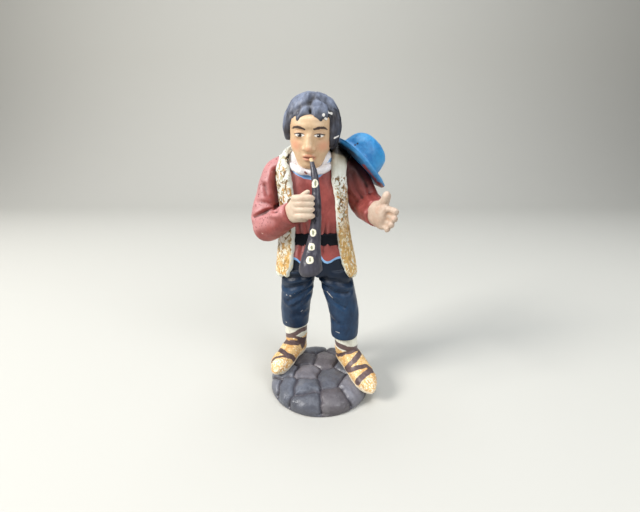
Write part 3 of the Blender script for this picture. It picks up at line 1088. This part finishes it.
# Flakes off the hair, as strokes: start, end and half-width
HAIR_FLAKES = [
    ((1.1, -6.1, 112.2), (1.2, -6.1, 112.2), 0.52), ((3.2, -4.3, 113.4), (4, -3.2, 112.9), 0.42),
    ((1.8, -5.7, 111.1), (2.5, -5.1, 110.8), 0.4), ((4.9, -2.3, 105.2), (6.1, -0.6, 106.0), 0.34),
]


def lock(root, tip, end, wide, out, taper):
    """A wavy clump combed from the crown outwards and down to a narrow tip."""
    stations = []
    for part in np.linspace(0, 1, 9):
        lift = math.radians(84 + (end - 84) * part)
        wave = 3.5 * math.sin(part * 6 + root) * part
        place = hair_point(math.radians(root + (tip - root) * part + wave), lift, out)
        body = min(0.4 + 1.6 * part, 1) * (1 - taper * max(part - 0.6, 0) / 0.4)
        stations.append((*place, wide * body, 3.6 * (0.5 + 0.5 * body)))
    turn = math.radians((root + tip) / 2)
    return loft(stations, 28, 44, (math.cos(turn), math.sin(turn), 0), (0.02, 0.05))


def way_from(turn, lift):
    return np.stack([np.sin(turn) * np.cos(lift), -np.cos(turn) * np.cos(lift), np.sin(lift)], -1)


# Valleys between the waves of the fringe: turn and height angle along each, half-width and depth
VALLEYS = [
    ([(8, 84), (7, 72), (3.5, 60), (-4.7, 50), (-23.5, 42), (-38.3, 33), (-48, 26)], 0.9, 0.85),
    ([(3.5, 60), (19.4, 57.3), (34.1, 54.4), (46, 48), (58, 40)], 0.8, 0.6),
    ([(-4, 50), (-3.2, 40), (-2.4, 32)], 0.8, 0.45), ([(28, 40), (20, 31), (17, 23)], 0.8, 0.4),
    ([(50, 46), (50, 34), (48, 20)], 0.8, 0.6), ([(-60, 74), (-74, 58), (-76, 40), (-66, 24)], 0.8, 0.5),
    ([(120, 84), (105, 72), (99, 60), (92, 44)], 0.8, 0.6), ([(-33, 43), (-29, 31), (-38, 23)], 0.7, 0.4),
    ([(57, 37), (72, 30), (69, 22), (66, 18)], 0.4, 0.6),
]


def combed(ways, path, wide, deep):
    """A groove drawn through the hair along turns and height angles, faint at both ends."""
    part = np.linspace(0, 1, 30)
    line = way_from(*np.radians(curve(path, part)).T)
    apart = np.linalg.norm(ways[:, None] - line[None], axis=2) * HAIR_SIZE[0]
    fade = np.sin(np.pi * np.clip(part[apart.argmin(1)], 0.06, 0.94)) ** 0.5
    return deep * fade * np.exp(-(apart.min(1) / wide) ** 2)


def hair():
    parts = [ball((0.1, 2.1, 2.9), (9.1, 9.6, 10.3), 64)]
    for i, (root, tip, end, wide) in enumerate(LOCKS):
        parts.append(lock(root, tip, end, wide, 0.9 if i < 12 else 0.93, 0.8 if i < 5 else 0.5))
    obj = fuse("hair", [placed(part, pose) for part in parts], 0.24, 5)
    points = points_of(obj)
    ways = (in_head(points) - HAIR_MIDDLE) / HAIR_SIZE
    ways /= np.linalg.norm(ways, axis=1)[:, None]
    valley = sum(combed(ways, *row) for row in VALLEYS)
    height = 0.3 * grain(points, 4.2, 2, 92) - valley
    ring = sorted(LOCKS[5:12])
    for one, other in zip(ring, ring[1:] + ring[:1]):
        if one[0] != -76:
            turn = 360 if other[0] < one[0] else 0
            top, foot = (one[0] + other[0] + turn) / 2, (one[1] + other[1] + turn) / 2
            parting = [(top, 72), (0.5 * (top + foot) + 3, 36), (foot, min(one[2], other[2]))]
            height -= combed(ways, parting, 0.75, 0.55)
    for i in range(24):
        root = i * 15 + rng.uniform(-6, 6)
        front = math.cos(math.radians(root))
        end = rng.uniform(30, 46) if front > 0.6 else rng.uniform(-24, 14)
        sweep = rng.uniform(-14, 14) + 16 * math.copysign(max(front, 0), math.sin(math.radians(root)))
        start = rng.uniform(40, 76)
        path = [(root, start), (root + sweep / 2 + 3, (start + end) / 2), (root + sweep, end)]
        height -= combed(ways, path, rng.uniform(0.3, 0.5), rng.uniform(0.1, 0.24))
    push(obj, height)
    points = points_of(obj)
    flakes = [(*on_surface(obj, (start, end), 2), half) for start, end, half in HAIR_FLAKES]
    mark(obj, "flake", to_strokes(points, flakes) + 0.12 * grain(points, 0.8, 2, 93))
    turn, lift = np.degrees(np.arctan2(ways[:, 0], -ways[:, 1])), np.degrees(np.arcsin(ways[:, 2]))
    fringe = smooth(lift, 38, 22) * smooth(np.abs(turn), 75, 50)
    sides = smooth(turn, 46, 62) * smooth(lift, 44, 26) + 0.6 * smooth(-turn, 50, 62) * smooth(lift, 16, -6)
    mark(obj, "dusk", np.clip(fringe + sides + 1.1 * valley, 0, 1) * (0.85 + 0.3 * grain(points, 3, 2, 94)))
    paint = Paint("dark_hair_paint")
    upper = paint.coat(srgb(133, 142, 163), srgb(80, 85, 101), (1, 1, 3))
    lower = paint.coat(srgb(60, 57, 62), srgb(34, 32, 36), (1, 1, 3))
    tone = paint.mix(paint.read("dusk"), upper, lower)
    deep = paint.grime(tone, srgb(20, 18, 22), 0.03, 0.26, 0.9)
    worn, _ = paint.chips(deep, srgb(150, 144, 142), 3.6, 0.12)
    flaked = paint.mix(paint.inside("flake", 0.1), worn, srgb(246, 242, 236))
    hand_over(obj, paint.finish(flaked, 0.5, 0.06, 0.04, paint.noise(1.2, 3, (1, 1, 3)), 0.38))


# Hat: a round crown on a rolled brim, slung behind the left shoulder

HAT_PROFILE = [
    (0, -1.4), (6, -1.5), (9.5, -1.7), (11.6, -1.7), (12.7, -1.2), (13.2, -0.4), (13.05, 0.4),
    (12.3, 0.75), (11.2, 0.6), (10, 0.9), (9.3, 1.6), (9.05, 2.8), (8.8, 4.3), (8.3, 5.9), (7.3, 7.5),
    (5.7, 8.8), (3.7, 9.55), (1.6, 9.8), (0, 9.8),
]
PINHOLES = [((13.5, 5.9, 102.1), (13.5, 5.8, 102.1)), ((14.4, 6, 102.7), (14.4, 5.9, 102.7))]


def hat():
    profile = curve([(r, z, 0) for r, z in HAT_PROFILE], np.linspace(0, 1, 110))[:, :2]
    profile[0, 0] = profile[-1, 0] = 0
    turn = Vector((0, 0, 1)).rotation_difference(Vector(HAT_AXIS).normalized()).to_matrix().to_4x4()
    turn.translation = HAT_CENTRE
    obj = fuse("hat", [placed(revolve(profile, 160), turn)], 0.25, 3)
    points = points_of(obj)
    local = (points - np.array(HAT_CENTRE)) @ np.array(turn.to_3x3())
    reach = np.hypot(local[:, 0], local[:, 1])
    rim = smooth(reach, 9.6, 13)
    ripple = 0.25 * np.sin(3 * np.arctan2(local[:, 1], local[:, 0]) + 0.7) * rim
    axis = np.array(turn.to_3x3())[:, 2]
    uphill = np.array([-1.0, 0, 1])
    uphill = unit(uphill - (uphill @ axis) * axis)
    shift = HAT_CROWN_SHIFT * smooth(local[:, 2], 0, 1.4)
    moved = points + ripple[:, None] * axis + shift[:, None] * uphill
    obj.data.vertices.foreach_set("co", moved.ravel())
    obj.data.update()
    push(obj, 0.18 * grain(points, 4, 3, 101))
    points = points_of(obj)
    downhill = -(points - np.array(HAT_CENTRE)) @ uphill
    below = smooth(-local[:, 2], 0.7, 1.3)
    mark(obj, "under", below)
    smear = local[:, 2] + 1.35 - 0.9 * smooth(downhill, 7, 10.5) + 0.3 * grain(points, 1.6, 2, 102)
    smear += 3 * smooth(downhill, 0, -4) + 3 * smooth(reach, 11, 10)
    mark(obj, "smear", smear)
    mark(obj, "rim", smooth(reach, 11.4, 13) * (1 - 0.6 * below))
    mark(obj, "gloom", below * smooth(-downhill, 0, 7))
    holes = [(*on_surface(obj, hole, 2), 0.4) for hole in PINHOLES]
    mark(obj, "pinhole", to_strokes(points, holes))
    paint = Paint("blue_hat_paint")
    felt = paint.coat(srgb(60, 156, 214), srgb(34, 120, 182), (1, 1, 1.6))
    shade = paint.mix(paint.sum(paint.read("under"), 0.7, "MULTIPLY"), felt, srgb(24, 84, 134))
    rim = paint.mix(paint.sum(paint.read("rim"), 0.5, "MULTIPLY"), shade, srgb(22, 84, 134))
    bright = paint.mix(paint.between(paint.read("hollow"), -0.04, -0.26, 0, 0.5), rim, srgb(110, 186, 238))
    deep = paint.grime(bright, srgb(16, 60, 104), 0.03, 0.3, 0.75)
    smeared = paint.mix(paint.inside("smear", 0.25), deep, srgb(130, 60, 56))
    pricked = paint.mix(paint.inside("pinhole", 0.1), smeared, srgb(10, 30, 60))
    worn, _ = paint.chips(pricked, srgb(170, 196, 216), 2.6, 0.16)
    gloomy = paint.mix(paint.sum(paint.read("gloom"), 0.92, "MULTIPLY"), worn, srgb(10, 24, 40))
    hand_over(obj, paint.finish(gloomy, 0.46, 0.07, 0.06, paint.noise(1.3, 3, (1, 1, 1.6))))


# Setting: a plain pale floor that sweeps up behind, soft light and the camera

def stage():
    profile = [(-0.9, 0), (0.45, 0)]
    for turn in np.linspace(0, math.pi / 2, 24):
        profile.append((0.45 + 0.3 * math.sin(turn), 0.3 * (1 - math.cos(turn))))
    profile.append((0.75, 1.2))
    points = [(x, y, z) for y, z in profile for x in (-1.4, 1.4)]
    faces = [(2 * i, 2 * i + 1, 2 * i + 3, 2 * i + 2) for i in range(len(profile) - 1)]
    mesh = bpy.data.meshes.new("sweep")
    mesh.from_pydata(points, [], faces)
    mesh.polygons.foreach_set("use_smooth", np.ones(len(faces), bool))
    sweep = bpy.data.objects.new("sweep", mesh)
    bpy.context.scene.collection.objects.link(sweep)
    material = bpy.data.materials.new("pale_sweep")
    material.use_nodes = True
    surface = material.node_tree.nodes["Principled BSDF"]
    surface.inputs["Base Color"].default_value = srgb(192, 190, 183)
    surface.inputs["Roughness"].default_value = 0.8
    mesh.materials.append(material)


def lamp(name, place, size, watts, colour):
    light = bpy.data.lights.new(name, "AREA")
    light.size = size
    light.energy = watts
    light.color = colour
    obj = bpy.data.objects.new(name, light)
    obj.location = place
    obj.rotation_euler = (Vector((0, 0, 0.06)) - Vector(place)).to_track_quat("-Z", "Y").to_euler()
    bpy.context.scene.collection.objects.link(obj)


def setting():
    stage()
    lamp("key", (-0.66, -0.28, 0.56), 0.3, 9.6, (1, 0.98, 0.95))
    lamp("overhead", (0, 0.05, 0.9), 0.7, 6.5, (0.88, 0.94, 1))
    lamp("fill", (0.45, -0.45, 0.5), 0.5, 3.7, (0.95, 0.97, 1))
    world = bpy.data.worlds.new("room")
    world.use_nodes = True
    background = world.node_tree.nodes["Background"]
    background.inputs["Color"].default_value = (0.93, 0.96, 1, 1)
    background.inputs["Strength"].default_value = 0.05
    bpy.context.scene.world = world
    camera = bpy.data.cameras.new("camera")
    camera.sensor_width = 36
    camera.lens = 19.125
    camera.clip_start = 0.005
    view = bpy.data.objects.new("camera", camera)
    view.location = (0, -0.1296, 0.1026)
    view.rotation_euler = (math.radians(71.92), 0, 0)
    bpy.context.scene.collection.objects.link(view)
    bpy.context.scene.camera = view
    bpy.context.scene.view_settings.view_transform = "Standard"


base()
feet()
breeches()
sweater()
belt()
collar()
vest()
hands(skin_paint("fist_paint", srgb(208, 191, 170), srgb(194, 169, 147)),
      skin_paint("open_hand_paint", srgb(196, 177, 160), srgb(178, 153, 134)))
shawm()
head()
hair()
hat()
setting()
